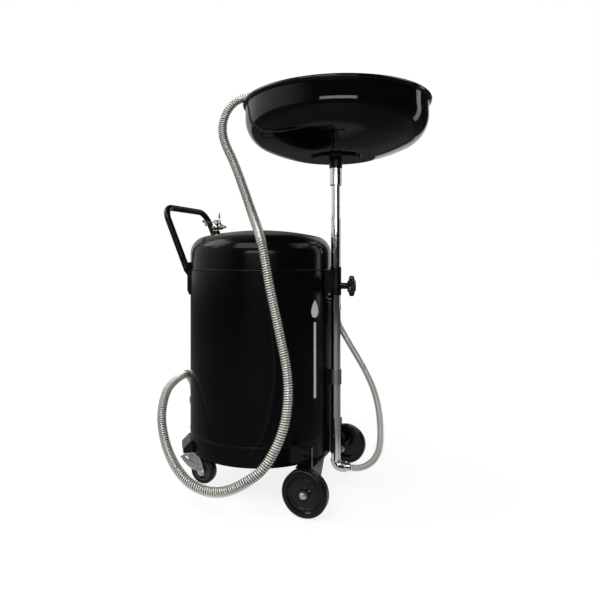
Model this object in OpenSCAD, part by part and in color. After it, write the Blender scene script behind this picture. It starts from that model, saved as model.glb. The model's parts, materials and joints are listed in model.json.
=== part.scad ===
// Wheeled waste-oil drainer. Oil runs from a drain bowl down a sliding mast and through a return
// hose into a pressure tank on four wheels; a discharge hose hangs over the bowl's rim.
// Millimetres. +X is the mast side, -X the handle side and +Z up. The right side is -Y.
// The origin is on the floor, below the middle of the cart's outline.

/* [Tank] */
// Outside diameter of the tank
tank_d = 400; // [390:5:410]
// Height of the skirt's lower edge above the floor
skirt_z = 95; // [94:0.5:96]
// Height of the lower weld seam
low_seam_z = 146; // [144:1:150]
// Height of the upper weld seam
high_seam_z = 590; // [586:1:594]
// Sheet thickness of the barrel and heads
tank_wall = 3; // [2.5:0.5:3]
// Sheet thickness of the skirt
skirt_wall = 1.5; // [1:0.5:1.5]

/* [Bowl] */
// Outside diameter of the bowl's wall
bowl_d = 489; // [480:1:492]
// Height of the rolled rim's centre
rim_z = 1034; // [1030:1:1040]
// Height of the bowl's flat floor, outside
bowl_floor_z = 894; // [892:1:896]
// Radius of the rolled rim's bead
bead_r = 6; // [5:0.5:7]
// Sheet thickness of the bowl
bowl_wall = 2; // [1.5:0.5:2.5]

/* [Mast] */
// Distance from the tank's axis to the mast's axis
mast_offset = 222; // [222:1:224]
// Outside radius of the mast tube
mast_r = 12.9; // [12.5:0.1:12.9]
// Outside radius of the thinner tube at the mast's top
upper_r = 11.3; // [11.1:0.1:11.5]
// Height of the thinner tube's foot, where it leaves the mast tube
mast_step_z = 730; // [720:1:740]
// Height of the mast tube's lower end
mast_foot_z = 76; // [74:1:80]
// Height of the coupling below the bowl
mast_top_z = 818; // [810:1:820]
// Bore radius of the sleeve and the collar that guide the mast
guide_bore_r = 13; // [13:0.02:13.1]

/* [Wheels] */
// Radius of a front wheel
wheel_r = 57.5; // [56:0.5:58]
// Distance from the middle of the cart to the middle of a front wheel
wheel_y = 190; // [188:1:192]
// Distance from the tank's axis to the front axle
axle_offset = 201; // [200:1:202]
// Radius of a caster wheel
caster_r = 36; // [35:0.5:36]
// Distance from the tank's axis to a caster's swivel axis
caster_offset = 187; // [186:0.5:188]
// Angle between the handle side and a caster, seen from above
caster_angle = 35.4; // [34:0.2:37]
// Distance that a caster's wheel trails behind its swivel axis
caster_trail = 28; // [26:1:30]

/* [Handle] */
// Distance from the tank's axis to the handle's crossbar
handle_reach = 250; // [245:1:255]
// Height of the handle's crossbar
handle_z = 768; // [760:1:775]
// Half the distance between the handle's legs
handle_half = 118.5; // [116:0.5:120]
// Radius of the handle's tube
handle_r = 9; // [8:0.5:10]

/* [Hoses] */
// Outside diameter of the discharge hose's spring guard
discharge_d = 25; // [24:0.5:26]
// Outside diameter of the return hose's spring guard
return_d = 19; // [18:0.5:20]

/* [Hidden] */

$fn = 64;
RIGHT = -1;
LEFT = 1;
gap = 0.3;
cut = 1;

tank_r = tank_d / 2;
bead_ring_r = bowl_d / 2 + 1.5;
// The cart's outline runs from the handle's crossbar to the bowl's rim, and the origin halves it.
tank_x = -(mast_offset + bead_ring_r + bead_r - handle_reach - handle_r) / 2;
mast_x = tank_x + mast_offset;

// Pressed heads of the tank: straight skirt, knuckle radius and crown radius
top_head = [44, 50, 730];
bottom_head = [0, 30, 900];
bottom_head_r = tank_r - skirt_wall - 0.2;

// Bowl: knuckle radius and height of its centre, crown radius
bowl_knuckle_r = 80;
bowl_knuckle_z = 996;
bowl_crown_r = 483;
drain_r = 20;

// Tank ports
outlet_x = -222;
outlet_z = 166;
inlet_x = 217;
inlet_y = 30;
inlet_z = 508;
valve_x = -146;
valve_z = 714;
lever_z = 728;

// Mast guides and clamp
collar_z = 281;
collar_h = 40;
collar_r = 15.6;
sleeve_z = 522;
sleeve_h = 76;
sleeve_r = 15;
knob_z = 547;
knob_stud_r = 5;
knob_x = 34;
knob_t = 21;

// Front frame and wheels
sheet = 3;
frame_y = 142;
upright_top_z = 149;
axle_r = 6;
wheel_w = 29;
wheel_hub_r = 46;
lug_bolt_x = [178, 190];
lug_bolt_z = [122, 138];

// Casters
bracket_t = 3;
plate_t = 3.5;
plate_z = skirt_z - bracket_t - plate_t;
race_h = 4.5;
caster_w = 24;
caster_hub_r = 26;
caster_bolt_grid = 22;
fork_y = 17;
crown_z = caster_r * 2 + 4;
pedal_pivot = [14, 46];

// Handle: the legs lean back in one plane from the bolts to the crossbar
handle_bolt = [176, 597];
handle_lean = atan((handle_reach - handle_bolt[0]) / (handle_z - handle_bolt[1]));
handle_len = norm([handle_reach - handle_bolt[0], handle_z - handle_bolt[1]]);
handle_bend_r = 40;
spade_t = 5;

// Route of the discharge hose from the nozzle in the bowl to the outlet elbow, from the tank's axis
discharge_route = [
    [76, -59, 955], [76, -59, 980], [67, -63, 1018], [42, -73, 1047], [7, -87, 1058],
    [-28, -101, 1048], [-53, -111, 1017], [-62, -116, 982], [-58, -120, 950], [-47, -122, 922],
    [-31, -124, 892], [17, -136, 788], [43, -149, 733], [67, -170, 694],
    [90, -196, 655], [100, -200, 615], [108, -199, 570], [133, -195, 450],
    [158, -202, 347], [164, -209, 303], [165, -219, 260], [160, -232, 216],
    [146, -248, 172], [120, -264, 127], [81, -275, 95], [44, -280, 74], [11, -282, 64],
    [-64, -281, 74], [-105, -270, 96], [-150, -246, 130], [-178, -226, 165],
    [-196, -207, 197], [-208, -182, 231], [-214, -152, 260], [-210, -116, 280], [-209, -76, 286],
    [-215, -38, 276], [-220, -10, 248], [-222, 0, 212], [-222, 0, 202]
];
// Route of the return hose from the mast elbow to the inlet elbow
return_route = [
    [262, 0, 60], [276, 0, 60], [300, 3, 67], [322, 8, 84], [335, 14, 109], [339, 20, 142],
    [337, 26, 182], [331, 30, 222], [318, 34, 266], [296, 37, 312], [268, 38, 358],
    [247, 37, 392], [231, 34, 420], [221, 31, 442], [217, 30, 460], [217, 30, 478]
];

// Points of an arc about a centre, from one angle to another
function arc(centre, r, from, to, steps = 10) =
    [for (i = [0:steps]) let (a = from + (to - from) * i / steps) centre + r * [cos(a), sin(a)]];

function reversed(points) = [for (i = [len(points) - 1:-1:0]) points[i]];

// Outline of a pressed head of radius r, from its open edge at z = 0 up to its top on the axis
function head_outline(r, form, t) =
    let (
        c = r - form[1],
        tilt = asin(c / (form[2] - form[1])),
        crown_centre = form[0] - (form[2] - form[1]) * cos(tilt)
    )
    concat(
        [[r - t, 0]],
        arc([c, form[0]], form[1] - t, 0, 90 - tilt),
        arc([0, crown_centre], form[2] - t, 90 - tilt, 90)
    );

module at_tank(z = 0) translate([tank_x, 0, z]) children();
module at_mast(z = 0) translate([mast_x, 0, z]) children();

// Ring or disc about the Z axis from z0 to z1
module ring(r, bore, z0, z1) {
    translate([0, 0, z0])
        difference() {
            cylinder(r = r, h = z1 - z0);
            if (bore > 0)
                translate([0, 0, -cut]) cylinder(r = bore, h = z1 - z0 + 2 * cut);
        }
}

// Round rod along X or Y between two places
module rod_x(r, x0, x1) translate([x0, 0, 0]) rotate([0, 90, 0]) cylinder(r = r, h = x1 - x0);
module rod_y(r, y0, y1) translate([0, y0, 0]) rotate([-90, 0, 0]) cylinder(r = r, h = y1 - y0);

// Hexagon prism about the Z axis, across_flats wide
module hexagon(across_flats, h) cylinder(d = across_flats / cos(30), h = h, $fn = 6);

// Body of the tank, for cutting what is welded onto it
module tank_cylinder(r = tank_r) at_tank(-cut) cylinder(r = r, h = handle_z, $fn = 128);

// Copies of one thing on the right and the left side
module both_sides() {
    children();
    mirror([0, 1, 0]) children();
}
// Shape drawn for the right side, put on either side
module on_side(side) {
    if (side == LEFT)
        mirror([0, 1, 0]) children();
    else
        children();
}

module tank_barrel() {
    color([0.03, 0.03, 0.03])
        at_tank()
            difference() {
                ring(tank_r, tank_r - tank_wall, low_seam_z, high_seam_z, $fn = 128);
                translate([0, 0, outlet_z]) rod_x(9.2, -tank_r - cut, -tank_r + 2 * tank_wall);
                translate([0, inlet_y, inlet_z]) rod_x(7.2, tank_r - 4 * tank_wall, tank_r + cut);
            }
}

module tank_skirt() {
    color([0.03, 0.03, 0.03])
        at_tank() ring(tank_r, tank_r - skirt_wall, skirt_z, low_seam_z, $fn = 128);
}

module head_shell(r, form) {
    rotate_extrude($fn = 128)
        polygon(concat(head_outline(r, form, 0), reversed(head_outline(r, form, tank_wall))));
}

module tank_top_head() {
    color([0.03, 0.03, 0.03])
        at_tank(high_seam_z)
            difference() {
                head_shell(tank_r, top_head);
                translate([valve_x, 0, 0]) cylinder(r = 10, h = tank_r);
            }
}

module tank_bottom_head() {
    color([0.03, 0.03, 0.03])
        at_tank(low_seam_z) mirror([0, 0, 1]) head_shell(bottom_head_r, bottom_head);
}

// Tube inside the tank, from the outlet to just above the bottom, so that pressure empties it
pickup_r = 8;
pickup_bore_r = 6;
pickup_bend_r = 24;
pickup_start_x = -190;
pickup_down_x = -100;
pickup_end_z = 118;
module pickup_tube() {
    bend_x = pickup_down_x - pickup_bend_r;
    bend_z = outlet_z - pickup_bend_r;
    color([0.6, 0.6, 0.62])
        at_tank() {
            translate([0, 0, outlet_z])
                difference() {
                    rod_x(pickup_r, pickup_start_x, bend_x);
                    rod_x(pickup_bore_r, pickup_start_x - cut, bend_x + cut);
                }
            translate([bend_x, 0, bend_z])
                rotate([90, 0, 0])
                    rotate_extrude(angle = 90)
                        translate([pickup_bend_r, 0])
                            difference() {
                                circle(r = pickup_r);
                                circle(r = pickup_bore_r);
                            }
            translate([pickup_down_x, 0, 0]) ring(pickup_r, pickup_bore_r, pickup_end_z, bend_z);
        }
}

// The handle is drawn flat, with its legs along X from the bolts, then leaned back
module handle_tube() {
    corner = handle_half - handle_bend_r;
    bend_x = handle_len - handle_bend_r;
    tube_start = 26;
    color([0.02, 0.02, 0.02])
        at_tank()
            translate([-handle_bolt[0], 0, handle_bolt[1]])
                rotate([0, -90 - handle_lean, 0])
                    mirror([0, 0, 1]) {
                        both_sides() {
                            translate([0, -handle_half, 0]) rod_x(handle_r, tube_start, bend_x);
                            translate([bend_x, -corner, 0])
                                rotate([0, 0, -90])
                                    rotate_extrude(angle = 90)
                                        translate([handle_bend_r, 0]) circle(r = handle_r);
                            handle_spade(tube_start);
                        }
                        translate([handle_len, 0, 0]) rod_y(handle_r, -corner, corner);
                    }
}

// Flattened and drilled end of a handle leg
module handle_spade(tube_start) {
    difference() {
        translate([0, -handle_half - spade_t / 2, 0]) {
            translate([0, 0, -handle_r]) cube([tube_start + 6, spade_t, 2 * handle_r]);
            rod_y(handle_r, 0, spade_t);
        }
        rod_y(3.1, -tank_r, 0);
    }
}

// Plate welded upright on the barrel, with a lug at its top for the handle's bolt
module handle_bracket(side) {
    plate_y = -handle_half + spade_t / 2;
    color([0.02, 0.02, 0.02])
        on_side(side)
            difference() {
                at_tank()
                    translate([0, plate_y, 0])
                        rotate([90, 0, 0])
                            mirror([0, 0, 1])
                                linear_extrude(spade_t)
                                    polygon([
                                        [-150, 520], [-168, 520], [-174, 532], [-174, 574],
                                        [-186, 588], [-186, 607], [-166, 611], [-150, 611]
                                    ]);
                tank_cylinder();
                at_tank()
                    translate([-handle_bolt[0], 0, handle_bolt[1]]) rod_y(3.1, -tank_r, 0);
            }
}

// Bolt of radius r along +Y from its head at y0, with a nut at the far end of its grip
module bolt_y(r, y0, grip) {
    head = 1.25 * r;
    translate([0, y0, 0])
        rotate([-90, 0, 0]) {
            translate([0, 0, -head]) hexagon(3.4 * r, head);
            cylinder(r = r, h = grip + 2 * r + 2);
            translate([0, 0, grip])
                difference() {
                    hexagon(3.4 * r, 1.6 * r);
                    cylinder(r = r, h = 2 * r);
                }
        }
}

module handle_bolts() {
    color([0.7, 0.7, 0.72])
        both_sides()
            at_tank()
                translate([-handle_bolt[0], 0, handle_bolt[1]])
                    bolt_y(3, -handle_half - spade_t / 2, 2 * spade_t);
}

// Bent-sheet frame across the front: side plates for the axles, a web and a flange under the skirt
module front_frame() {
    web_x = tank_r - sheet;
    inner_y = frame_y - sheet;
    web_low_z = 48;
    flange = 40;
    color([0.02, 0.02, 0.02])
        at_tank() {
            both_sides() {
                frame_side_plate();
                translate([web_x, -inner_y, skirt_z - sheet])
                    cube([sheet, 10, upright_top_z - skirt_z + sheet]);
            }
            translate([web_x, 0, 0])
                rotate([90, 0, 90])
                    linear_extrude(sheet)
                        difference() {
                            translate([-inner_y, web_low_z]) square([2 * inner_y, skirt_z - web_low_z]);
                            polygon([[-64, web_low_z - cut], [64, web_low_z - cut], [34, 88], [-34, 88]]);
                            for (y = [-inner_y - cut, inner_y - 11])
                                translate([y, web_low_z - cut]) square([12, 22]);
                        }
            translate([web_x - flange, -inner_y, skirt_z - sheet]) cube([flange, 2 * inner_y, sheet]);
        }
}

module frame_side_plate() {
    difference() {
        translate([0, -frame_y + sheet, 0])
            rotate([90, 0, 0])
                linear_extrude(sheet) {
                    translate([axle_offset, wheel_r]) circle(r = 14);
                    polygon([
                        [axle_offset - 14, wheel_r], [axle_offset + 14, wheel_r],
                        [tank_r, 92], [tank_r, upright_top_z],
                        [168, upright_top_z], [168, 112]
                    ]);
                }
        translate([axle_offset, 0, wheel_r]) rod_y(axle_r + 0.1, -tank_r, 0);
        frame_bolt_places() rod_y(2.6, -tank_r, 0);
    }
}

module frame_bolt_places() {
    for (x = lug_bolt_x, z = lug_bolt_z)
        translate([x, 0, z]) children();
}

// Lug welded on the barrel and skirt, inside the frame's side plate
module frame_lug(side) {
    lug_y = frame_y - sheet;
    color([0.02, 0.02, 0.02])
        on_side(side)
            difference() {
                at_tank()
                    translate([0, -lug_y, 0])
                        rotate([90, 0, 0])
                            mirror([0, 0, 1])
                                linear_extrude(sheet)
                                    polygon([
                                        [120, 104], [180, 104], [tank_r - sheet, 114],
                                        [tank_r - sheet, upright_top_z], [120, upright_top_z]
                                    ]);
                tank_cylinder();
                at_tank() frame_bolt_places() rod_y(2.6, -tank_r, 0);
            }
}

module frame_bolts() {
    color([0.72, 0.72, 0.74])
        both_sides()
            at_tank() frame_bolt_places() bolt_y(2.5, -frame_y, 2 * sheet);
}

// Stub axle: head behind the side plate, shoulder up to the hub, then the wheel's seat
module axle(side) {
    hub_y = wheel_y - wheel_w / 2;
    color([0.7, 0.7, 0.72])
        on_side(side)
            at_tank()
                translate([axle_offset, 0, wheel_r]) {
                    rod_y(9, -frame_y + sheet, -frame_y + sheet + 4);
                    rod_y(axle_r, -wheel_y - wheel_w / 2 - 5.8, -frame_y + sheet);
                    rod_y(9, -hub_y + 1 + gap, -frame_y);
                }
}

module wheel_nuts() {
    nut_y = wheel_y + wheel_w / 2 + 0.5 + gap;
    color([0.75, 0.75, 0.77])
        both_sides()
            at_tank()
                translate([axle_offset, -nut_y, wheel_r])
                    rotate([90, 0, 0])
                        difference() {
                            union() {
                                cylinder(r = 9, h = 1.2);
                                translate([0, 0, 1.2]) hexagon(14.5, 4.8);
                                translate([0, 0, 6]) cylinder(r1 = 6.4, r2 = 5, h = 1.5);
                            }
                            translate([0, 0, -cut]) cylinder(r = axle_r, h = 6);
                        }
}

module wheel_tyre(side) {
    corner = 7;
    half = wheel_w / 2;
    color([0.05, 0.05, 0.05])
        wheel_place(side)
            rotate_extrude($fn = 128)
                polygon(concat(
                    [[wheel_hub_r, -half], [wheel_r - corner, -half]],
                    arc([wheel_r - corner, -half + corner], corner, -90, 0, 6),
                    arc([wheel_r - corner, half - corner], corner, 0, 90, 6),
                    [[wheel_hub_r, half]]
                ));
}

// Puts a wheel, drawn about the Z axis, on its axle with +Z facing outwards
module wheel_place(side) {
    on_side(side)
        at_tank()
            translate([axle_offset, -wheel_y, wheel_r]) rotate([90, 0, 0]) children();
}

module wheel_hub(side) {
    half = wheel_w / 2;
    color([0.04, 0.04, 0.04])
        wheel_place(side)
            rotate_extrude($fn = 128)
                polygon([
                    [axle_r + 0.08, -half - 1], [15, -half - 1], [15, -5], [38, -5], [38, -half + 1],
                    [wheel_hub_r, -half + 1], [wheel_hub_r, half - 1], [44, half - 1], [41, half - 5],
                    [38, half - 5], [37, half - 4], [35, half - 4], [34, half - 5], [18, half - 5],
                    [15, half - 3], [14, half + 0.5], [axle_r + 0.08, half + 0.5]
                ]);
}

// Frame of reference of a caster's bracket: X runs outwards from the tank's axis
module bracket_place(side) {
    on_side(side)
        at_tank()
            rotate([0, 0, 180 + caster_angle]) children();
}

// Base plate under the skirt, with a sloped and boxed gusset outside it
module caster_bracket(side) {
    half = 35;
    outer = 222;
    top = 124;
    slope = [[tank_r - 10, skirt_z], [outer, skirt_z], [outer, 104], [tank_r + 2, top], [tank_r - 10, top]];
    hollow = [
        [tank_r - 20, skirt_z - cut], [outer - sheet, skirt_z - cut], [outer - sheet, 102.5],
        [tank_r + 0.5, top - sheet], [tank_r - 20, top - sheet]
    ];
    color([0.02, 0.02, 0.02])
        difference() {
            bracket_place(side) {
                difference() {
                    translate([146, -half, skirt_z - bracket_t]) cube([outer - 146, 2 * half, bracket_t]);
                    caster_bolt_places() translate([0, 0, -cut]) cylinder(r = 3.2, h = skirt_z + 2 * cut);
                }
                difference() {
                    bracket_wedge(half, slope);
                    bracket_wedge(half - sheet, hollow);
                }
            }
            translate([0, 0, skirt_z + cut]) tank_cylinder();
        }
}

module bracket_wedge(half, outline) {
    translate([0, half, 0])
        rotate([90, 0, 0]) linear_extrude(2 * half) polygon(outline);
}

module caster_bolt_places() {
    for (x = [-1, 1], y = [-1, 1])
        translate([caster_offset + x * caster_bolt_grid, y * caster_bolt_grid, 0]) children();
}

module caster_plate(side) {
    half = 30;
    color([0.75, 0.75, 0.77])
        bracket_place(side)
            difference() {
                union() {
                    translate([caster_offset - half, -half, plate_z]) cube([2 * half, 2 * half, plate_t]);
                    translate([caster_offset, 0, 0]) ring(21, 0, plate_z - race_h, plate_z);
                }
                translate([caster_offset, 0, 0]) cylinder(r = 5.08, h = skirt_z - bracket_t);
                caster_bolt_places() cylinder(r = 3.2, h = skirt_z);
            }
}

module caster_bolts() {
    color([0.78, 0.78, 0.8])
        both_sides()
            bracket_place(RIGHT)
                caster_bolt_places() {
                    translate([0, 0, skirt_z]) hexagon(10, 4);
                    translate([0, 0, plate_z - 6]) cylinder(r = 3, h = skirt_z - plate_z + 6);
                    translate([0, 0, plate_z - 4])
                        difference() {
                            hexagon(10, 4);
                            cylinder(r = 3, h = 4);
                        }
                }
}

// Swivel axis of a caster; the wheel trails towards +X
module swivel_place(side) {
    on_side(side)
        at_tank()
            translate([-caster_offset * cos(caster_angle), -caster_offset * sin(caster_angle), 0])
                children();
}

// Leg of a caster's fork, seen from the side, with the axle's hole
module fork_leg_outline(t) {
    difference() {
        union() {
            polygon([
                [-18, crown_z + 4], [22, crown_z + 4], [32, crown_z - 14],
                [caster_trail + 11, caster_r], [caster_trail - 11, caster_r], [-6, crown_z - 14]
            ]);
            translate([caster_trail, caster_r]) circle(r = 11);
        }
        translate([caster_trail, caster_r]) circle(r = 4.1);
    }
}

module caster_fork(side) {
    race_z = plate_z - race_h - gap;
    color([0.78, 0.78, 0.8])
        swivel_place(side) {
            ring(5, 0, crown_z, skirt_z - bracket_t - gap);
            ring(19, 0, crown_z, race_z);
            translate([-18, -fork_y, crown_z]) cube([40, 2 * fork_y, 3]);
            for (y = [-fork_y, fork_y + 2.5])
                translate([0, y, 0]) rotate([90, 0, 0]) linear_extrude(2.5) fork_leg_outline();
            translate([pedal_pivot[0], 0, pedal_pivot[1]]) {
                rod_y(3, -fork_y - 5.1, -fork_y);
                rod_y(5, -fork_y - 6.6, -fork_y - 5.1);
            }
        }
}

module caster_axle(side) {
    color([0.72, 0.72, 0.74])
        swivel_place(side)
            translate([caster_trail, 0, caster_r]) bolt_y(4, -fork_y - 2.5, 2 * fork_y + 5);
}

// Brake pedal: a leaf on the outer side of the fork that carries a foot tab ahead of the wheel
module caster_pedal(side) {
    color([0.8, 0.8, 0.82])
        swivel_place(side) {
            translate([0, -fork_y - 2.5 - gap, 0])
                rotate([90, 0, 0])
                    linear_extrude(2)
                        difference() {
                            polygon([
                                [-33, 70], [-20, 71], [4, 60], [21, 54], [20, 46], [14, 40],
                                [5, 40], [-12, 49], [-25, 60]
                            ]);
                            translate(pedal_pivot) circle(r = 3.08);
                        }
            translate([-35, -fork_y - 4.5 - gap, 68.5]) cube([11, 2 * fork_y + 4, 2.5]);
        }
}

module caster_tyre(side) {
    corner = 6;
    half = caster_w / 2;
    color([0.05, 0.05, 0.05])
        caster_wheel_place(side)
            rotate_extrude($fn = 96)
                polygon(concat(
                    [[caster_hub_r, -half], [caster_r - corner, -half]],
                    arc([caster_r - corner, -half + corner], corner, -90, 0, 6),
                    arc([caster_r - corner, half - corner], corner, 0, 90, 6),
                    [[caster_hub_r, half]]
                ));
}

module caster_wheel_place(side) {
    swivel_place(side)
        translate([caster_trail, 0, caster_r]) rotate([90, 0, 0]) children();
}

module caster_hub(side) {
    half = caster_w / 2;
    boss = fork_y - gap;
    color([0.3, 0.3, 0.3])
        caster_wheel_place(side)
            rotate_extrude($fn = 96)
                polygon([
                    [4.06, -boss], [10, -boss], [10, -4], [20, -4], [22, -half + 1],
                    [caster_hub_r, -half + 1], [caster_hub_r, half - 1], [22, half - 1], [20, 4],
                    [10, 4], [10, boss], [4.06, boss]
                ]);
}

// Block between the tank and the clamp sleeve, flared towards the tank
module clamp_bracket() {
    color([0.02, 0.02, 0.02])
        difference() {
            at_tank(sleeve_z + 6)
                linear_extrude(sleeve_h - 14)
                    polygon([
                        [180, -26], [200, -26], [mast_offset - 2, -sleeve_r + 1],
                        [mast_offset - 2, sleeve_r - 1], [200, 26], [180, 26]
                    ]);
            tank_cylinder();
            at_mast() cylinder(r = sleeve_r, h = mast_top_z);
        }
}

module clamp_sleeve() {
    color([0.03, 0.03, 0.03])
        at_mast()
            difference() {
                union() {
                    ring(sleeve_r, guide_bore_r, sleeve_z, sleeve_z + sleeve_h);
                    translate([0, 0, knob_z]) rod_x(8.5, guide_bore_r + 1, knob_x - 2);
                }
                translate([0, 0, knob_z]) rod_x(knob_stud_r + 0.08, 0, knob_x);
                translate([0, 0, sleeve_z]) cylinder(r = guide_bore_r, h = sleeve_h);
            }
}

module guide_collar() {
    color([0.5, 0.5, 0.52])
        at_mast() ring(collar_r, guide_bore_r, collar_z, collar_z + collar_h);
}

// Upright bar between the tank and the mast that carries the guide collar
module guide_bracket() {
    color([0.02, 0.02, 0.02])
        difference() {
            at_tank(skirt_z + 5)
                translate([180, -15, 0]) cube([26.5, 30, collar_z + collar_h - skirt_z - 3]);
            tank_cylinder();
            at_mast() cylinder(r = collar_r, h = high_seam_z);
        }
}

// Quarter bend in the XZ plane about the origin, from -X side going down and along +X
module quarter_bend(bend_r, r, bore) {
    rotate([90, 0, 0])
        rotate_extrude(angle = 90, start = 180)
            translate([bend_r, 0])
                difference() {
                    circle(r = r);
                    circle(r = bore);
                }
}

module inlet_elbow() {
    bend = 12;
    bend_x = inlet_x - bend;
    bend_z = inlet_z - bend;
    hose_z = return_route[len(return_route) - 1][2];
    color([0.5, 0.5, 0.52])
        at_tank()
            translate([0, inlet_y, 0]) {
                difference() {
                    union() {
                        translate([0, 0, inlet_z]) rod_x(7, 188, bend_x);
                        difference() {
                            translate([0, 0, inlet_z]) rod_x(12, 190, bend_x - 1);
                            translate([0, -inlet_y, 0]) cylinder(r = tank_r, h = high_seam_z, $fn = 128);
                        }
                    }
                    translate([0, 0, inlet_z]) rod_x(5, 180, bend_x + cut);
                }
                translate([bend_x, 0, bend_z])
                    mirror([1, 0, 0]) mirror([0, 0, 1]) quarter_bend(bend, 8.5, 5);
                translate([inlet_x, 0, 0]) {
                    ring(8.5, 5, bend_z - 3, bend_z);
                    translate([0, 0, bend_z - 9])
                        difference() {
                            hexagon(19, 6);
                            translate([0, 0, -cut]) cylinder(r = 5, h = 8);
                        }
                    ring(10.5, 5, hose_z, bend_z - 9);
                }
            }
}

module outlet_elbow() {
    bend = 16;
    bend_x = outlet_x + bend;
    bend_z = outlet_z + bend;
    hose_z = discharge_route[len(discharge_route) - 1][2];
    color([0.5, 0.5, 0.52])
        at_tank() {
            difference() {
                union() {
                    translate([0, 0, outlet_z]) rod_x(9, bend_x, pickup_start_x);
                    difference() {
                        translate([0, 0, outlet_z]) rod_x(16, bend_x + 1, -190);
                        cylinder(r = tank_r, h = high_seam_z, $fn = 128);
                    }
                }
                translate([0, 0, outlet_z]) rod_x(6, bend_x - cut, -180);
            }
            translate([bend_x, 0, bend_z]) quarter_bend(bend, 11, 6);
            translate([outlet_x, 0, 0]) {
                ring(11, 6, bend_z, bend_z + 1);
                translate([0, 0, bend_z + 1])
                    difference() {
                        hexagon(24, 7);
                        translate([0, 0, -cut]) cylinder(r = 6, h = 9);
                    }
                ring(13.5, 6, bend_z + 8, hose_z);
            }
        }
}

// Welded socket on the top head for the air fittings
module top_bung() {
    color([0.03, 0.03, 0.03])
        difference() {
            at_tank() translate([valve_x, 0, 0]) ring(12, 6, 678, 702);
            translate([0, 0, high_seam_z])
                at_tank()
                    rotate_extrude($fn = 128)
                        polygon(concat(
                            head_outline(tank_r, top_head, 0),
                            [[0, -cut], [tank_r, -cut]]
                        ));
        }
}

// Ball valve body with its stem on top and ports to +X and +Y
module valve_body() {
    color([0.8, 0.68, 0.4])
        at_tank()
            translate([valve_x, 0, 0])
                difference() {
                    union() {
                        ring(8, 0, 702, valve_z);
                        translate([0, 0, valve_z]) sphere(r = 12);
                        translate([0, 0, valve_z]) rod_x(7, 0, 16);
                        translate([0, 0, valve_z]) rod_y(6.5, 0, 15);
                        translate([0, 20, 0]) ring(6.5, 0, 707, 724);
                        ring(6, 0, valve_z, lever_z - gap);
                        ring(3.5, 0, valve_z, lever_z + 8);
                    }
                    translate([0, 0, 700]) cylinder(r = 4, h = 14);
                    translate([0, 0, valve_z]) rod_x(4, 0, 17);
                }
}

module relief_valve() {
    color([0.75, 0.7, 0.5])
        at_tank() translate([valve_x, 20, 0]) {
            translate([0, 0, 724]) hexagon(11, 4);
            ring(4.5, 1.7, 728, 738);
        }
}

module relief_pull() {
    color([0.8, 0.8, 0.82])
        at_tank()
            translate([valve_x, 20, 0]) {
                ring(1.6, 0, 729, 744);
                translate([0, 0, 742]) cylinder(r1 = 3.4, r2 = 1.4, h = 16);
            }
}

module air_nipple() {
    color([0.8, 0.8, 0.82])
        at_tank()
            translate([valve_x, 0, valve_z]) {
                translate([16, 0, 0]) rotate([0, 90, 0]) hexagon(15, 4);
                rod_x(6, 20, 23);
                rod_x(4, 23, 32);
            }
}

module valve_lever() {
    color([0.8, 0.8, 0.82])
        at_tank()
            translate([valve_x, 0, lever_z]) {
                difference() {
                    union() {
                        cylinder(r = 7, h = 2);
                        translate([-42, -4.5, 0]) cube([42, 9, 2.5]);
                        translate([0, 0, 2]) hexagon(12, 4);
                    }
                    translate([0, 0, -cut]) cylinder(r = 3.58, h = 10);
                }
                translate([-44, -4.5, 0]) cube([2.5, 9, 8]);
                translate([-34, 0, -5]) sphere(r = 5);
            }
}

module mast_tube() {
    color([0.85, 0.87, 0.9])
        at_mast() ring(mast_r, upper_r, mast_foot_z, mast_step_z);
}

// Thinner tube that stands in the mast tube and reaches into the bowl's drain
module upper_tube() {
    color([0.85, 0.87, 0.9])
        at_mast() ring(upper_r, upper_r - 1.5, mast_step_z - 60, bowl_floor_z + 10);
}

module mast_coupling() {
    r = 15.6;
    top = 866;
    color([0.85, 0.87, 0.9])
        at_mast()
            rotate_extrude()
                polygon([
                    [upper_r, mast_top_z], [r - 1.5, mast_top_z], [r, mast_top_z + 2],
                    [r, top - 1.5], [r - 1, top], [upper_r, top]
                ]);
}

module drain_flange() {
    color([0.02, 0.02, 0.02])
        at_mast() {
            ring(17.5, upper_r, 866, bowl_floor_z - 5);
            ring(67.5, upper_r, bowl_floor_z - 5, bowl_floor_z);
            ring(drain_r, upper_r, bowl_floor_z, bowl_floor_z + 10);
        }
}

// Half of the bowl's section on one face of the sheet, from the drain hole out and up to the rim
function bowl_outline(t) =
    let (
        c = bowl_d / 2 - bowl_knuckle_r,
        tilt = asin(c / (bowl_crown_r - bowl_knuckle_r)),
        crown_z = bowl_knuckle_z + (bowl_crown_r - bowl_knuckle_r) * cos(tilt),
        floor_z = bowl_floor_z + t,
        floor_angle = acos((crown_z - floor_z) / (bowl_crown_r - t))
    )
    concat(
        [[drain_r + 0.2, floor_z]],
        arc([0, crown_z], bowl_crown_r - t, -90 + floor_angle, -90 + tilt, 6),
        arc([c, bowl_knuckle_z], bowl_knuckle_r - t, -90 + tilt, 0, 16),
        [[bowl_d / 2 - t, rim_z]]
    );

module bowl() {
    color([0.02, 0.02, 0.02])
        at_mast()
            rotate_extrude($fn = 128) {
                polygon(concat(bowl_outline(0), reversed(bowl_outline(bowl_wall))));
                translate([bead_ring_r, rim_z]) circle(r = bead_r, $fn = 32);
            }
}

module drain_nut() {
    color([0.7, 0.7, 0.72])
        at_mast(bowl_floor_z + bowl_wall)
            difference() {
                hexagon(56, 6);
                translate([0, 0, -cut]) cylinder(r = drain_r + 0.1, h = 8);
            }
}

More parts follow.
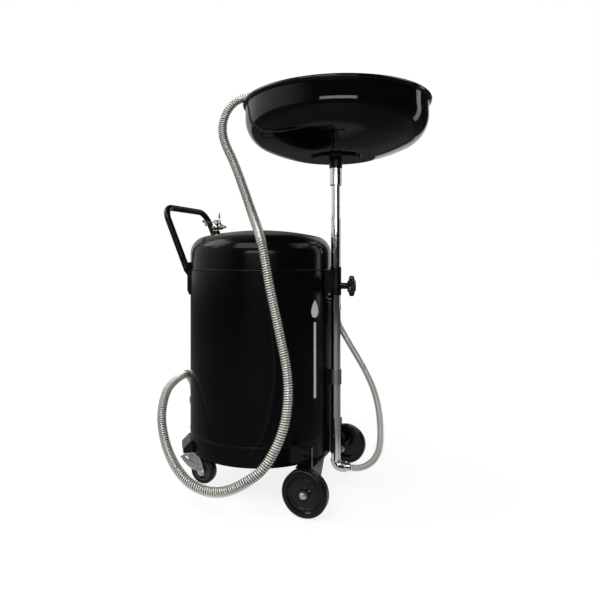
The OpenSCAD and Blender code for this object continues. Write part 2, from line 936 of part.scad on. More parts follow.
// Perforated lid over the drain, standing on the bowl's floor
module strainer() {
    r = 62;
    top = 906;
    color([0.75, 0.75, 0.77])
        at_mast()
            difference() {
                ring(r, 0, bowl_floor_z + bowl_wall, top + 1.5);
                ring(r - 1.5, 0, bowl_floor_z, top);
                for (row = [1:4], i = [0:6 * row - 1])
                    rotate([0, 0, 60 * i / row])
                        translate([12.5 * row, 0, top - cut]) cylinder(r = 3, h = 4, $fn = 24);
            }
}

// Elbow at the foot of the mast with the return hose's ferrule
module mast_elbow() {
    bend = 16;
    bend_x = bend;
    bend_z = mast_foot_z;
    hose_z = mast_foot_z - bend;
    color([0.6, 0.6, 0.62])
        at_mast() {
            translate([bend_x, 0, bend_z]) quarter_bend(bend, 14.5, upper_r);
            translate([0, 0, hose_z])
                difference() {
                    union() {
                        rod_x(14.5, bend_x, 28);
                        rod_x(10.5, 28, return_route[0][0] - mast_offset);
                    }
                    rod_x(6, bend_x - cut, 60);
                    rod_x(upper_r, bend_x - cut, 22);
                }
        }
}

// Metal end of the discharge hose, hanging inside the bowl
module hose_nozzle() {
    end = discharge_route[0];
    color([0.8, 0.8, 0.82])
        translate([tank_x + end[0], end[1], 0]) {
            ring(13, 7, end[2] - 14, end[2]);
            ring(9, 7, end[2] - 40, end[2] - 14);
        }
}

// Star knob on a threaded stud that presses on the mast
module clamp_knob() {
    lobes = 6;
    color([0.04, 0.04, 0.04])
        at_mast(knob_z) {
            rod_x(knob_stud_r, mast_r + gap, knob_x);
            translate([knob_x, 0, 0])
                rotate([0, 90, 0]) {
                    cylinder(r = 10, h = 4);
                    translate([0, 0, 3])
                        for (i = [0:lobes - 1])
                            rotate([0, 0, i * 360 / lobes]) {
                                translate([19, 0, 0]) cylinder(r = 8, h = 14);
                                translate([0, -6, 0]) cube([20, 12, 14]);
                            }
                    translate([0, 0, 3]) cylinder(r = 16, h = 14);
                    translate([0, 0, 17]) cylinder(r1 = 12, r2 = 3, h = 4);
                }
        }
}

// Closed tube through the points of a route, with flat ends
module hose(route, d, sideways) {
    sides = 8;
    last = len(route) - 1;
    function unit(v) = v / norm(v);
    function heading(i) = unit(route[min(i + 1, last)] - route[max(i - 1, 0)]);
    function across(i) = unit(cross(heading(i), sideways));
    function ring_point(i, k) =
        let (a = 360 * k / sides, n = across(i))
        route[i] + d / 2 * (cos(a) * n + sin(a) * cross(heading(i), n));
    points = [for (i = [0:last], k = [0:sides - 1]) ring_point(i, k)];
    walls = [
        for (i = [0:last - 1], k = [0:sides - 1])
            let (a = i * sides + k, b = i * sides + (k + 1) % sides)
            [a, a + sides, b + sides, b]
    ];
    ends = [[for (k = [0:sides - 1]) k], [for (k = [sides - 1:-1:0]) last * sides + k]];
    polyhedron(points, concat(walls, ends));
}

module discharge_hose() {
    color([0.75, 0.75, 0.75])
        at_tank() hose(discharge_route, discharge_d, [0.5, 0.6, -0.6]);
}

module return_hose() {
    color([0.75, 0.75, 0.75])
        at_tank() hose(return_route, return_d, [0, 1, 0]);
}

tank_barrel();
tank_skirt();
tank_top_head();
tank_bottom_head();
pickup_tube();
handle_tube();
handle_bracket(RIGHT);  // right_handle_bracket
handle_bracket(LEFT);  // left_handle_bracket
handle_bolts();
front_frame();
frame_lug(RIGHT);  // right_frame_lug
frame_lug(LEFT);  // left_frame_lug
frame_bolts();
axle(RIGHT);  // right_axle
axle(LEFT);  // left_axle
wheel_nuts();
caster_bracket(RIGHT);  // right_caster_bracket
caster_bracket(LEFT);  // left_caster_bracket
caster_plate(RIGHT);  // right_caster_plate
caster_plate(LEFT);  // left_caster_plate
caster_bolts();
clamp_bracket();
clamp_sleeve();
guide_collar();
guide_bracket();
inlet_elbow();
outlet_elbow();
top_bung();
valve_body();
relief_valve();
air_nipple();
valve_lever();
relief_pull();
mast_tube();
upper_tube();
mast_coupling();
drain_flange();
bowl();
drain_nut();
strainer();
mast_elbow();
hose_nozzle();
clamp_knob();
wheel_tyre(RIGHT);  // right_wheel_tyre
wheel_tyre(LEFT);  // left_wheel_tyre
wheel_hub(RIGHT);  // right_wheel_hub
wheel_hub(LEFT);  // left_wheel_hub
caster_fork(RIGHT);  // right_caster_fork
caster_fork(LEFT);  // left_caster_fork
caster_pedal(RIGHT);  // right_caster_pedal
caster_pedal(LEFT);  // left_caster_pedal
caster_axle(RIGHT);  // right_caster_axle
caster_axle(LEFT);  // left_caster_axle
caster_tyre(RIGHT);  // right_caster_tyre
caster_tyre(LEFT);  // left_caster_tyre
caster_hub(RIGHT);  // right_caster_hub
caster_hub(LEFT);  // left_caster_hub
discharge_hose();
return_hose();
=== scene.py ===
"""Looks of a wheeled waste-oil drainer: tank, sliding mast with a drain bowl, two spring-guarded hoses.

Metres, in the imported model's frame: +X is the mast side, -X the handle side, +Z is up.
"""
import json
import math

import bpy
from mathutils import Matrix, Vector


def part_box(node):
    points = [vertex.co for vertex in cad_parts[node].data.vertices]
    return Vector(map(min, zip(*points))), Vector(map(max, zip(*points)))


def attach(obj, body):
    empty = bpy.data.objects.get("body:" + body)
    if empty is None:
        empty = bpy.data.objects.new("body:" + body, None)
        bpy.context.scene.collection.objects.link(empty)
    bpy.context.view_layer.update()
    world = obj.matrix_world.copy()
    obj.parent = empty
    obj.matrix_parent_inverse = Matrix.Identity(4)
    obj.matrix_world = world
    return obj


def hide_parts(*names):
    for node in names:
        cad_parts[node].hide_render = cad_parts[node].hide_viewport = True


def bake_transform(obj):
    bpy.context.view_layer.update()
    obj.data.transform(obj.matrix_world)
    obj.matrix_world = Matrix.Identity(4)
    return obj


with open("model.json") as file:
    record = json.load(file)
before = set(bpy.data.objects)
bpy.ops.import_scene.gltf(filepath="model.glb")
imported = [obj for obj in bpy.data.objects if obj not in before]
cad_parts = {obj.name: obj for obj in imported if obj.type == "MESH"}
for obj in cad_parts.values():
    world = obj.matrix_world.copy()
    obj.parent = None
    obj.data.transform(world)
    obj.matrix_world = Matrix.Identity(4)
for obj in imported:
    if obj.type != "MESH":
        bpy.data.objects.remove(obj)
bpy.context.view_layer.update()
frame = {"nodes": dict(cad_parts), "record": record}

MM = 0.001


def middle(node):
    """Centre of a node's box."""
    low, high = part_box(node)
    return (Vector(low) + Vector(high)) / 2


TANK = middle("tank_barrel")
MAST = middle("mast_tube")
BARREL_LOW, BARREL_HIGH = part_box("tank_barrel")
TANK_R = (BARREL_HIGH[0] - BARREL_LOW[0]) / 2

# Camera: level, at waist height, turned towards the cart's mast side
CAMERA_TURN = math.radians(22.4)
CAMERA_PLACE = Vector((TANK.x + 0.6309, -1.4164, 0.6213))
CAMERA_BACK = Vector((math.sin(CAMERA_TURN), -math.cos(CAMERA_TURN), 0))
CAMERA_RIGHT = Vector((math.cos(CAMERA_TURN), math.sin(CAMERA_TURN), 0))
LENS_MM = 32.4
SENSOR_MM = 36
SHIFT = (0.0397, -0.0695)


def make_camera():
    data = bpy.data.cameras.new("camera")
    data.lens = LENS_MM
    data.sensor_width = SENSOR_MM
    data.shift_x, data.shift_y = SHIFT
    camera = bpy.data.objects.new("camera", data)
    camera.location = CAMERA_PLACE
    camera.rotation_euler = (math.radians(90), 0, CAMERA_TURN)
    bpy.context.collection.objects.link(camera)
    bpy.context.scene.camera = camera


# ---------------------------------------------------------------- mesh helpers

def mesh_piece(name, points, faces, smooth=True):
    """New mesh object from points and faces."""
    mesh = bpy.data.meshes.new(name)
    mesh.from_pydata([tuple(p) for p in points], [], faces)
    mesh.polygons.foreach_set("use_smooth", [smooth] * len(mesh.polygons))
    mesh.update()
    piece = bpy.data.objects.new(name, mesh)
    bpy.context.collection.objects.link(piece)
    return piece


def grid_faces(rows, columns, closed_rows=False):
    """Quads between neighbouring rings of points. With closed_rows the last ring joins the first."""
    faces = []
    for i in range(rows if closed_rows else rows - 1):
        here = i * columns
        above = (i + 1) % rows * columns
        for k in range(columns):
            n = (k + 1) % columns
            faces.append((here + k, here + n, above + n, above + k))
    return faces


def end_caps(rows, columns):
    """Faces that close the first and the last of some rings of points."""
    last = (rows - 1) * columns
    return [tuple(range(columns - 1, -1, -1)), tuple(range(last, last + columns))]


def lathe(name, profile, centre, axis, segments):
    """Ring turned about the X or Z axis from a closed profile of (radius, height) points."""
    points = []
    for radius, height in profile:
        for k in range(segments):
            a = 2 * math.pi * k / segments
            x, y = radius * math.cos(a), radius * math.sin(a)
            place = {"Z": (x, y, height), "X": (height, x, y)}[axis]
            points.append(Vector(place) + centre)
    return mesh_piece(name, points, grid_faces(len(profile), segments, closed_rows=True))


def arc(centre, radius, start, end, steps):
    """Points of an arc in a profile's plane, with angles in degrees."""
    points = []
    for i in range(steps + 1):
        a = math.radians(start + (end - start) * i / steps)
        points.append((centre[0] + radius * math.cos(a), centre[1] + radius * math.sin(a)))
    return points


# ---------------------------------------------------------------- hoses

# Routes in millimetres from the tank's axis, as in the CAD: from the nozzle in the bowl to the tank's
# outlet, and from the mast's foot to the tank's inlet
DISCHARGE_ROUTE = [
    (76, -59, 955), (76, -59, 980), (67, -63, 1018), (42, -73, 1047), (7, -87, 1058),
    (-28, -101, 1048), (-53, -111, 1017), (-62, -116, 982), (-58, -120, 950), (-47, -122, 922),
    (-31, -124, 892), (17, -136, 788), (43, -149, 733), (67, -170, 694),
    (90, -196, 655), (100, -200, 615), (108, -199, 570), (133, -195, 450),
    (158, -202, 347), (164, -209, 303), (165, -219, 260), (160, -232, 216),
    (146, -248, 172), (120, -264, 127), (81, -275, 95), (44, -280, 74), (11, -282, 64),
    (-64, -281, 74), (-105, -270, 96), (-150, -246, 130), (-178, -226, 165),
    (-196, -207, 197), (-208, -182, 231), (-214, -152, 260), (-210, -116, 280), (-209, -76, 286),
    (-215, -38, 276), (-220, -10, 248), (-222, 0, 212), (-222, 0, 202),
]
RETURN_ROUTE = [
    (262, 0, 60), (276, 0, 60), (300, 3, 67), (322, 8, 84), (335, 14, 109), (339, 20, 142),
    (337, 26, 182), (331, 30, 222), (318, 34, 266), (296, 37, 312), (268, 38, 358),
    (247, 37, 392), (231, 34, 420), (221, 31, 442), (217, 30, 460), (217, 30, 478),
]
DISCHARGE_D = 0.025
RETURN_D = 0.019


def curve_through(points, steps):
    """Dense points of a smooth curve through some points, with steps of them to a span."""
    padded = [2 * points[0] - points[1], *points, 2 * points[-1] - points[-2]]
    dense = []
    for p0, p1, p2, p3 in zip(padded, padded[1:], padded[2:], padded[3:]):
        d1, d2, d3 = (p1 - p0).length, (p2 - p1).length, (p3 - p2).length
        slope1 = ((p1 - p0) / d1 * d2 + (p2 - p1) / d2 * d1) / (d1 + d2)
        slope2 = ((p2 - p1) / d2 * d3 + (p3 - p2) / d3 * d2) / (d2 + d3)
        for i in range(steps):
            t = i / steps
            dense.append(
                p1 * (2 * t**3 - 3 * t**2 + 1) + slope1 * d2 * (t**3 - 2 * t**2 + t)
                + p2 * (3 * t**2 - 2 * t**3) + slope2 * d2 * (t**3 - t**2)
            )
    dense.append(points[-1])
    return dense


def smooth_path(route, step):
    """Curve through a route, as evenly spaced points about a step apart, and its length, in metres."""
    dense = curve_through([Vector((x * MM + TANK.x, y * MM, z * MM)) for x, y, z in route], steps=40)
    lengths = [0.0]
    for a, b in zip(dense, dense[1:]):
        lengths.append(lengths[-1] + (b - a).length)
    total = lengths[-1]
    count = round(total / step)
    path = []
    i = 0
    for n in range(count + 1):
        want = total * n / count
        while i < len(lengths) - 2 and lengths[i + 1] < want:
            i += 1
        share = (want - lengths[i]) / (lengths[i + 1] - lengths[i])
        path.append(dense[i].lerp(dense[i + 1], share))
    return path, total


def path_frames(path):
    """Each point of a path, with two directions across it that don't twist along it."""
    tangent = (path[1] - path[0]).normalized()
    across = tangent.orthogonal().normalized()
    frames = []
    for i, centre in enumerate(path):
        before = path[max(i - 1, 0)]
        after = path[min(i + 1, len(path) - 1)]
        turned = (after - before).normalized()
        across = (tangent.rotation_difference(turned) @ across).normalized()
        tangent = turned
        frames.append((centre, across, tangent.cross(across)))
    return frames


def guarded_hose(name, route, diameter, pitch, wire, steel, rubber):
    """Rubber hose inside an open-wound spring guard. The mesh's rows follow the wire's helix."""
    sides = 20
    # Depth below the guard's outside for each row of one turn: three on the hose, three on the wire
    depths = [wire, wire, wire, 0.35 * wire, 0, 0.35 * wire]
    rubber_rows = (0, 1)
    turn_rows = len(depths)
    path, length = smooth_path(route, pitch / turn_rows)
    frames = path_frames(path)
    rows = len(path) - turn_rows
    points = []
    for i in range(rows):
        radius = diameter / 2 - depths[i % turn_rows]
        for k in range(sides):
            # A row climbs by one pitch on its way round, so its end meets the row one turn on
            place = i + turn_rows * k / sides
            j = int(place)
            centre, across, beside = (a.lerp(b, place - j) for a, b in zip(frames[j], frames[j + 1]))
            a = 2 * math.pi * k / sides
            points.append(centre + radius * (math.cos(a) * across + math.sin(a) * beside))

    def corner(i, k):
        if k == sides:
            return (i + turn_rows) * sides
        return i * sides + k

    faces = []
    is_rubber = []
    for i in range(rows - 1):
        for k in range(sides):
            if k == sides - 1 and i + 1 + turn_rows >= rows:
                continue
            faces.append((corner(i, k), corner(i, k + 1), corner(i + 1, k + 1), corner(i + 1, k)))
            is_rubber.append(i % turn_rows in rubber_rows)
    # Caps: one whole turn at each end, closed along the step where the helix starts or stops
    first = [corner(0, k) for k in range(sides + 1)]
    first += [corner(i, 0) for i in range(turn_rows - 1, 0, -1)]
    last_row = rows - 1
    last = [corner(last_row, k) for k in range(sides)]
    last += [corner(i, sides - 1) for i in range(last_row - 1, last_row - turn_rows - 1, -1)]
    faces += [tuple(reversed(first)), tuple(last)]
    is_rubber += [True, True]
    hose = mesh_piece(name, points, faces)
    hose.data.materials.append(steel)
    hose.data.materials.append(rubber)
    hose.data.polygons.foreach_set("material_index", [int(r) for r in is_rubber])
    return hose, path, length


def make_hoses(steel, rubber):
    hose, path, length = guarded_hose("discharge_hose_guard", DISCHARGE_ROUTE, DISCHARGE_D,
                                      pitch=0.0060, wire=0.0030, steel=steel, rubber=rubber)
    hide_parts("discharge_hose")
    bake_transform(hose)
    hose, path, length = guarded_hose("return_hose_guard", RETURN_ROUTE, RETURN_D,
                                      pitch=0.0050, wire=0.0023, steel=steel, rubber=rubber)
    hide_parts("return_hose")
    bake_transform(hose)


# ---------------------------------------------------------------- materials

def new_shader(name):
    """New material, with its node tree and its shader."""
    material = bpy.data.materials.new(name)
    material.use_nodes = True
    tree = material.node_tree
    return material, tree, tree.nodes["Principled BSDF"]


def noise(nodes, links, vector, scale, detail):
    """Output of a new noise texture."""
    texture = nodes.new("ShaderNodeTexNoise")
    texture.inputs["Scale"].default_value = scale
    texture.inputs["Detail"].default_value = detail
    links.new(vector, texture.inputs["Vector"])
    return texture.outputs["Fac"]


def surface(name, colour, tint, rough, cloud, grain, bump, metallic=0.0, specular=0.5, stretch=(1, 1, 1)):
    """Procedural finish.

    Colour drifts to tint, and roughness over its range, with a noise of scale cloud.
    A fine noise of scale grain stands bump metres high. Stretch scales both noises along X, Y and Z.
    """
    material, tree, shader = new_shader(name)
    nodes, links = tree.nodes, tree.links
    place = nodes.new("ShaderNodeTexCoord")
    scaled = nodes.new("ShaderNodeVectorMath")
    scaled.operation = "MULTIPLY"
    scaled.inputs[1].default_value = stretch
    links.new(place.outputs["Object"], scaled.inputs[0])
    clouds = noise(nodes, links, scaled.outputs[0], cloud, detail=6)

    # Nearly all of the noise lies between 0.3 and 0.7
    spread = nodes.new("ShaderNodeMapRange")
    spread.inputs["From Min"].default_value = 0.3
    spread.inputs["From Max"].default_value = 0.7
    spread.inputs["To Min"].default_value = rough[0]
    spread.inputs["To Max"].default_value = rough[1]
    links.new(clouds, spread.inputs["Value"])
    links.new(spread.outputs["Result"], shader.inputs["Roughness"])

    blend = nodes.new("ShaderNodeMix")
    blend.data_type = "RGBA"
    blend.inputs["A"].default_value = (*colour, 1)
    blend.inputs["B"].default_value = (*tint, 1)
    links.new(clouds, blend.inputs["Factor"])
    links.new(blend.outputs["Result"], shader.inputs["Base Color"])

    relief = nodes.new("ShaderNodeBump")
    relief.inputs["Distance"].default_value = bump
    links.new(noise(nodes, links, scaled.outputs[0], grain, detail=3), relief.inputs["Height"])
    links.new(relief.outputs["Normal"], shader.inputs["Normal"])

    shader.inputs["Metallic"].default_value = metallic
    shader.inputs["Specular IOR Level"].default_value = specular
    return material


FINISHES = {
    "tank_paint": dict(
        colour=(0.002, 0.002, 0.0022), tint=(0.003, 0.003, 0.0032), rough=(0.14, 0.24), specular=0.14,
        cloud=7, grain=300, bump=0.00003,
    ),
    "frame_paint": dict(
        colour=(0.0025, 0.0025, 0.0027), tint=(0.005, 0.005, 0.0053), rough=(0.20, 0.32), specular=0.20,
        cloud=25, grain=700, bump=0.00005,
    ),
    "bowl_paint": dict(
        colour=(0.0015, 0.0015, 0.0017), tint=(0.003, 0.003, 0.0032), rough=(0.04, 0.10), specular=0.26,
        cloud=6, grain=200, bump=0.00001,
    ),
    "chrome": dict(
        colour=(0.74, 0.75, 0.78), tint=(0.62, 0.64, 0.68), rough=(0.05, 0.11), metallic=1.0,
        cloud=30, grain=900, bump=0.000004, stretch=(1, 1, 0.15),
    ),
    "zinc": dict(
        colour=(0.56, 0.55, 0.53), tint=(0.38, 0.37, 0.35), rough=(0.16, 0.32), metallic=1.0,
        cloud=60, grain=900, bump=0.00002,
    ),
    "nickel": dict(
        colour=(0.62, 0.58, 0.52), tint=(0.44, 0.40, 0.34), rough=(0.16, 0.30), metallic=1.0,
        cloud=70, grain=900, bump=0.00002,
    ),
    "satin_steel": dict(
        colour=(0.40, 0.40, 0.39), tint=(0.28, 0.28, 0.27), rough=(0.32, 0.45), metallic=1.0,
        cloud=40, grain=900, bump=0.00002,
    ),
    "black_steel": dict(
        colour=(0.03, 0.03, 0.031), tint=(0.07, 0.068, 0.065), rough=(0.30, 0.45), metallic=1.0,
        cloud=90, grain=1200, bump=0.00002,
    ),
    "tyre_rubber": dict(
        colour=(0.0025, 0.0025, 0.0025), tint=(0.005, 0.005, 0.0049), rough=(0.18, 0.32), specular=0.22,
        cloud=40, grain=1200, bump=0.00006,
    ),
    "black_plastic": dict(
        colour=(0.002, 0.002, 0.0022), tint=(0.004, 0.004, 0.004), rough=(0.12, 0.22), specular=0.28,
        cloud=50, grain=1500, bump=0.00002,
    ),
    "grey_plastic": dict(
        colour=(0.05, 0.05, 0.052), tint=(0.035, 0.035, 0.037), rough=(0.34, 0.48),
        cloud=50, grain=1500, bump=0.00004,
    ),
    "spring_steel": dict(
        colour=(0.95, 0.94, 0.91), tint=(0.78, 0.74, 0.67), rough=(0.24, 0.38), metallic=0.75,
        cloud=18, grain=900, bump=0.00001,
    ),
    "hose_rubber": dict(
        colour=(0.010, 0.009, 0.008), tint=(0.0075, 0.00675, 0.006), rough=(0.5, 0.7), specular=0.2,
        cloud=60, grain=900, bump=0.00005,
    ),
    "white_mark": dict(
        colour=(0.80, 0.80, 0.78), tint=(0.72, 0.72, 0.70), rough=(0.35, 0.5),
        cloud=80, grain=1400, bump=0.00002,
    ),
}


def paint_cad_nodes(materials):
    """Give each CAD node the finish of its material slot in the record."""
    for part in frame["record"]["subparts"]:
        node = frame["nodes"][part["node"]]
        for slot in node.material_slots:
            slot.material = materials[part["material_slot"]]


# ---------------------------------------------------------------- bowl

def make_bowl(materials):
    """Spun drain bowl with a rolled rim, to the CAD bowl's radii."""
    low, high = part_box("bowl")
    bead_r = 0.006
    wall = 0.002
    knuckle_r = 0.080
    knuckle_z = 0.996
    crown_r = 0.483
    hole_r = 0.0202
    bead_out = 0.0015
    rim_r = (high[0] - low[0]) / 2 - bead_r
    rim_z = high[2] - bead_r
    wall_r = rim_r - bead_out
    across = wall_r - knuckle_r
    tilt = math.degrees(math.asin(across / (crown_r - knuckle_r)))
    crown_z = knuckle_z + (crown_r - knuckle_r) * math.cos(math.radians(tilt))

    def face(offset):
        """One face of the sheet, from the hole over the flat floor and the crown to the knuckle's top."""
        bottom = low[2] + offset
        turn = math.degrees(math.acos((crown_z - bottom) / (crown_r - offset)))
        return (
            [(r, bottom) for r in (hole_r, 0.06, 0.10)]
            + arc((0, crown_z), crown_r - offset, -90 + turn, -90 + tilt, 16)
            + arc((across, knuckle_z), knuckle_r - offset, -90 + tilt, 0, 28)[1:]
        )

    # The bead starts on the wall's outside and ends on its inside. Rows close below it keep the wall's
    # shading straight.
    start = -math.degrees(math.acos((wall_r - rim_r) / bead_r))
    end = 360 - math.degrees(math.acos((wall_r - wall - rim_r) / bead_r))
    below = [rim_z - depth for depth in (0.014, 0.008, 0.0065)]
    profile = face(0.0)
    profile += [(wall_r, z) for z in below]
    profile += arc((rim_r, rim_z), bead_r, start, end, 32)
    profile += [(wall_r - wall, z) for z in reversed(below)]
    profile += reversed(face(wall))
    bowl = lathe("drain_bowl", profile, Vector((MAST.x, 0, 0)), axis="Z", segments=224)
    bowl.data.materials.append(materials["bowl_paint"])
    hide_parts("bowl")
    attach(bowl, "mast")


# ---------------------------------------------------------------- knob, welds and mark

def make_knob(materials):
    """Star knob with rounded lobes and a moulded hub."""
    low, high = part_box("clamp_knob")
    thick = 0.021
    seat = Vector((high[0] - thick, 0, (low[2] + high[2]) / 2))
    lobes = 6
    lobe_h = 0.0042
    lobe_round = 0.0006
    around = 144
    # (radius, share of the lobes, distance from the seat), from the back hub over the star to the cap
    layers = [
        (0.0100, 0.00, 0.0000), (0.0110, 0.00, 0.0015), (0.0120, 0.10, 0.0030), (0.0205, 0.85, 0.0036),
        (0.0222, 1.00, 0.0050), (0.0228, 1.00, 0.0080), (0.0228, 1.00, 0.0120), (0.0222, 1.00, 0.0150),
        (0.0208, 0.90, 0.0166), (0.0180, 0.60, 0.0174), (0.0130, 0.10, 0.0178), (0.0110, 0.00, 0.0190),
        (0.0090, 0.00, 0.0203), (0.0050, 0.00, thick),
    ]
    points = []
    for radius, share, depth in layers:
        for k in range(around):
            a = 2 * math.pi * k / around
            r = radius + share * (lobe_h * math.cos(lobes * a) + lobe_round * math.cos(2 * lobes * a))
            points.append(seat + Vector((depth, r * math.sin(a), r * math.cos(a))))
    faces = grid_faces(len(layers), around) + end_caps(len(layers), around)
    star = mesh_piece("star_knob", points, faces)
    star.data.materials.append(materials["black_plastic"])
    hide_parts("clamp_knob")
    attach(star, "knob")
    make_stud(low[0], seat, materials)


def make_stud(tip, seat, materials):
    """Threaded stud from the mast to the knob's seat."""
    pitch = 0.0015
    root_r = 0.0043
    crest_r = 0.0050
    axis_r = 0.0004
    # The chamfered tip comes first
    profile = [(axis_r, tip), (0.0030, tip), (0.0044, tip + 0.0012)]
    x = tip + 0.002
    while x < seat.x - pitch:
        profile += [(root_r, x), (crest_r, x + pitch / 2)]
        x += pitch
    profile += [(root_r, seat.x), (axis_r, seat.x)]
    stud = lathe("knob_stud", profile, Vector((0, 0, seat.z)), axis="X", segments=40)
    stud.data.materials.append(materials["zinc"])
    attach(stud, "knob")


def make_weld(name, height, materials):
    """Bead round the tank, laid in overlapping scales."""
    around = 1080
    scale_every = 4
    foot_r = TANK_R - 0.0004
    hidden_r = TANK_R - 0.0010
    rise = 0.0013
    scale_fall = 0.0005
    wander = 0.00012
    # (distance up the tank, share of the rise) over the bead
    section = [
        (-0.0024, 0.0), (-0.0017, 0.5), (-0.0006, 0.95), (0.0006, 0.95), (0.0017, 0.5), (0.0024, 0.0),
    ]
    points = []
    for i in range(around):
        a = 2 * math.pi * i / around
        fall = scale_fall * (i % scale_every) / scale_every
        for k, (up, out) in enumerate(section):
            r = foot_r + out * (rise - fall)
            z = height + up + wander * math.sin(3 * a + k)
            points.append((TANK.x + r * math.cos(a), r * math.sin(a), z))
        points.append((TANK.x + hidden_r * math.cos(a), hidden_r * math.sin(a), height))
    bead = mesh_piece(name, points, grid_faces(around, len(section) + 1, closed_rows=True))
    bead.data.materials.append(materials["tank_paint"])
    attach(bead, "cart")


def tank_film(name, rows, materials):
    """Thin white film on the tank, given row by row as (height, half width)."""
    middle_turn = math.radians(-21.2)
    lift = 0.00025
    columns = 9
    points = []
    for side in (lift, -lift):
        for z, half in rows:
            for k in range(columns):
                a = middle_turn + half * (2 * k / (columns - 1) - 1) / TANK_R
                r = TANK_R + side
                points.append((TANK.x + r * math.cos(a), r * math.sin(a), z))
    under = len(rows) * columns
    faces = []
    for i in range(len(rows) - 1):
        for k in range(columns - 1):
            a = i * columns + k
            b = a + under
            faces.append((a, a + 1, a + columns + 1, a + columns))
            faces.append((b + columns, b + columns + 1, b + 1, b))
    # The film's edge: along the first row, up one side, back along the last row and down the other side
    edge = list(range(columns))
    edge += [i * columns + columns - 1 for i in range(1, len(rows))]
    edge += [(len(rows) - 1) * columns + k for k in range(columns - 2, -1, -1)]
    edge += [i * columns for i in range(len(rows) - 2, 0, -1)]
    for a, b in zip(edge, edge[1:] + edge[:1]):
        faces.append((b, a, a + under, b + under))
    piece = mesh_piece(name, points, faces, smooth=False)
    piece.data.materials.append(materials["white_mark"])
    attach(piece, "cart")


def make_mark(materials):
    """Plain mark in place of the tank's lettering: an oil drop above a stripe."""
    top = 0.512
    drop_h = 0.046
    drop_r = 0.014
    drop_steps = 24
    tip_half = 0.0003
    gap = 0.012
    stripe_half = 0.0045
    stripe_low = 0.256
    stripe_steps = 8
    drop = []
    for i in range(drop_steps + 1):
        a = math.pi * i / drop_steps
        # Round below and pointed above. The factor 1.3 makes it about drop_r at its widest.
        half = drop_r * math.sin(a) * math.cos(a / 2) ** 0.9 * 1.3
        drop.append((top - drop_h + drop_h * (1 - math.cos(a)) / 2, max(tip_half, half)))
    tank_film("mark_drop", drop, materials)
    stripe_h = top - drop_h - gap - stripe_low
    stripe = [(stripe_low + stripe_h * i / stripe_steps, stripe_half) for i in range(stripe_steps + 1)]
    tank_film("mark_stripe", stripe, materials)


# ---------------------------------------------------------------- surroundings

def fade(nodes, links, value, near, far, at_near, at_far):
    """Smooth step of a value: at_near up to near, at_far from far on."""
    step = nodes.new("ShaderNodeMapRange")
    step.interpolation_type = "SMOOTHSTEP"
    step.inputs["From Min"].default_value = near
    step.inputs["From Max"].default_value = far
    step.inputs["To Min"].default_value = at_near
    step.inputs["To Max"].default_value = at_far
    links.new(value, step.inputs["Value"])
    return step.outputs["Result"]


def lit_or_seen(nodes, links, lit, seen):
    """One strength for the light and the reflections, and another, a socket or a number, for the camera."""
    path = nodes.new("ShaderNodeLightPath")
    mix = nodes.new("ShaderNodeMix")
    links.new(path.outputs["Is Camera Ray"], mix.inputs["Factor"])
    links.new(lit, mix.inputs["A"])
    if isinstance(seen, float):
        mix.inputs["B"].default_value = seen
    else:
        links.new(seen, mix.inputs["B"])
    return mix.outputs["Result"]


def make_floor():
    """White glowing floor. To the camera the glow is a little darker near the cart, a painted contact
    shadow. For the light and the gloss the floor glows white only near the cart, a painted pool of light as
    in a dark studio.
    """
    half = 14
    corners = [(-half, -half, 0), (half, -half, 0), (half, half, 0), (-half, half, 0)]
    floor = mesh_piece("floor", corners, [(0, 1, 2, 3)], smooth=False)
    floor.location.z = -0.0005
    material, tree, shader = new_shader("floor_glow_painted_shadow")
    nodes, links = tree.nodes, tree.links
    shader.inputs["Base Color"].default_value = (0.22, 0.22, 0.22, 1)
    shader.inputs["Roughness"].default_value = 0.7
    place = nodes.new("ShaderNodeTexCoord")
    distance = nodes.new("ShaderNodeVectorMath")
    distance.operation = "LENGTH"
    links.new(place.outputs["Object"], distance.inputs[0])
    away = distance.outputs["Value"]
    # Painted pool of light: for the light and the gloss the floor glows near the cart and is dark further
    # away
    lit = fade(nodes, links, away, near=0.25, far=0.6, at_near=0.5, at_far=0.0)
    # Painted contact shadow: to the camera the floor's glow is darker near the cart
    seen = fade(nodes, links, away, near=0.5, far=1.4, at_near=0.84, at_far=1.0)
    shader.inputs["Emission Color"].default_value = (1, 1, 1, 1)
    links.new(lit_or_seen(nodes, links, lit, seen), shader.inputs["Emission Strength"])
    floor.data.materials.append(material)


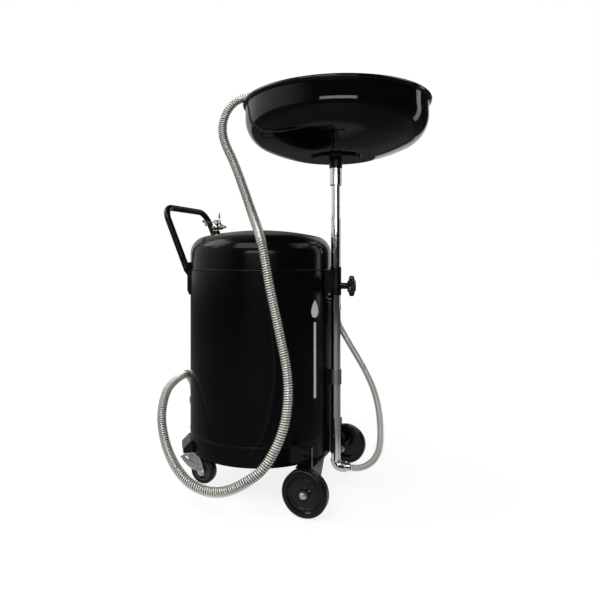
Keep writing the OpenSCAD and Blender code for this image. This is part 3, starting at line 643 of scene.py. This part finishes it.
def make_world():
    """White behind the cart. For the gloss it is dark, with a soft bright wall to the camera's left."""
    world = bpy.data.worlds.new("studio")
    world.use_nodes = True
    bpy.context.scene.world = world
    nodes, links = world.node_tree.nodes, world.node_tree.links
    background = nodes["Background"]
    wall_turn = math.radians(-112)
    place = nodes.new("ShaderNodeTexCoord")
    facing = nodes.new("ShaderNodeVectorMath")
    facing.operation = "DOT_PRODUCT"
    facing.inputs[1].default_value = math.cos(wall_turn) * CAMERA_BACK + math.sin(wall_turn) * CAMERA_RIGHT
    links.new(place.outputs["Generated"], facing.inputs[0])
    lit = fade(nodes, links, facing.outputs["Value"], near=0.1, far=1.0, at_near=0.02, at_far=0.9)
    links.new(lit_or_seen(nodes, links, lit, 1.0), background.inputs["Strength"])
    background.inputs["Color"].default_value = (1, 1, 1, 1)


def softbox(name, turn, distance, height, size, radiance, aim_z=0.6):
    """Area light aimed at the cart. Turn is in degrees from the camera's side, negative to its left."""
    a = math.radians(turn)
    place = (math.cos(a) * CAMERA_BACK + math.sin(a) * CAMERA_RIGHT) * distance
    place.z = height
    data = bpy.data.lights.new(name, "AREA")
    data.shape = "RECTANGLE"
    data.size, data.size_y = size
    data.energy = radiance * math.pi * size[0] * size[1]
    light = bpy.data.objects.new(name, data)
    light.location = place
    direction = Vector((0, 0, aim_z)) - place
    light.rotation_euler = direction.to_track_quat("-Z", "Y").to_euler()
    light.visible_camera = False
    bpy.context.collection.objects.link(light)


def make_lights():
    """A low strip for the bowl's highlight, three high softboxes, and rim lights on the right."""
    softbox("front_strip", turn=-2, distance=4.0, height=1.22, size=(3.0, 0.6), radiance=7.0, aim_z=0.9)
    softbox("front_high", turn=-25, distance=1.9, height=2.5, size=(1.6, 1.2), radiance=5.0, aim_z=0.5)
    softbox("left_high", turn=-95, distance=1.8, height=2.2, size=(1.4, 1.2), radiance=4.0, aim_z=0.5)
    softbox("right_high", turn=80, distance=1.8, height=2.3, size=(1.2, 1.0), radiance=3.0, aim_z=0.4)
    softbox("right_strip", turn=104, distance=2.6, height=1.2, size=(0.4, 2.0), radiance=2.0)
    softbox("back_right", turn=152, distance=2.6, height=1.3, size=(1.2, 2.0), radiance=0.8)


make_camera()
finishes = {name: surface(name, **values) for name, values in FINISHES.items()}
make_hoses(finishes["spring_steel"], finishes["hose_rubber"])
paint_cad_nodes(finishes)
make_bowl(finishes)
make_knob(finishes)
make_weld("low_weld", BARREL_LOW[2], finishes)
make_weld("high_weld", BARREL_HIGH[2], finishes)
make_mark(finishes)
make_floor()
make_world()
make_lights()
bpy.context.scene.view_settings.view_transform = "Standard"
